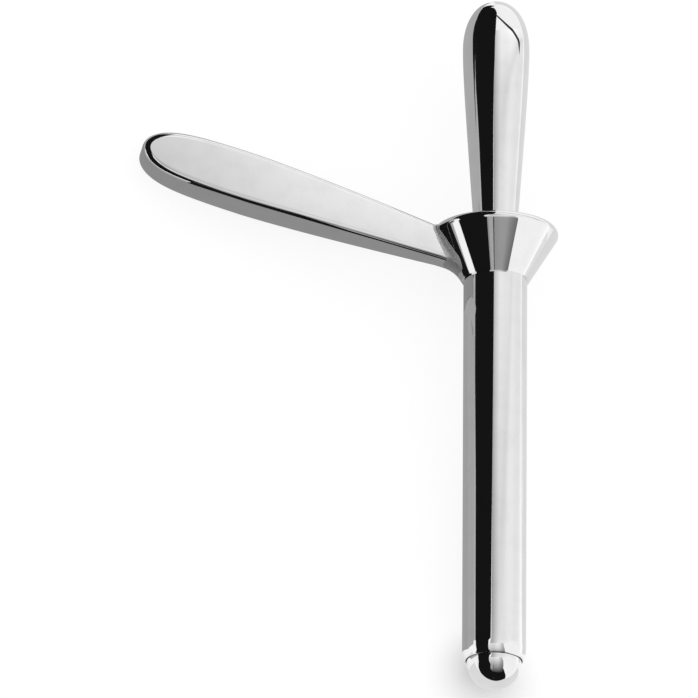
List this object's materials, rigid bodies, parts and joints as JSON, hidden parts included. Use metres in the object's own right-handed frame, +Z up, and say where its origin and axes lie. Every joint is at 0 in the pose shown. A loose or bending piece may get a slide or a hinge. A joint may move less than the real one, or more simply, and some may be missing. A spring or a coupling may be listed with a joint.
{
  "type": "anal speculum",
  "caption": "Polished steel tubular anal speculum: straight round tube, funnel mouth and flat club handle, with a sliding obturator that has a domed tip and a pear-shaped knob.",
  "frame": {"origin": "centre of the bottom of the bounding box, on the table that the instrument lies on", "axes": "+Y along the tube from its tip towards the knob, seen from above, the handle towards -X, +Z up"},
  "size_m": [0.1446, 0.251, 0.0432],
  "materials": {
    "speculum_steel": "mirror polished",
    "obturator_steel": "mirror polished"
  },
  "bodies": {
    "speculum": {"tube": "speculum_steel", "funnel": "speculum_steel", "handle": "speculum_steel"},
    "obturator": {"obturator_tip": "obturator_steel", "obturator_rod": "obturator_steel", "obturator_stop": "obturator_steel", "obturator_knob": "obturator_steel"}
  },
  "joints": [
    {"name": "obturator_pull", "type": "slide", "parent": "speculum", "child": "obturator", "axis": [0, 0.9976, 0.069], "range_m": [0, 0.175]}
  ]
}
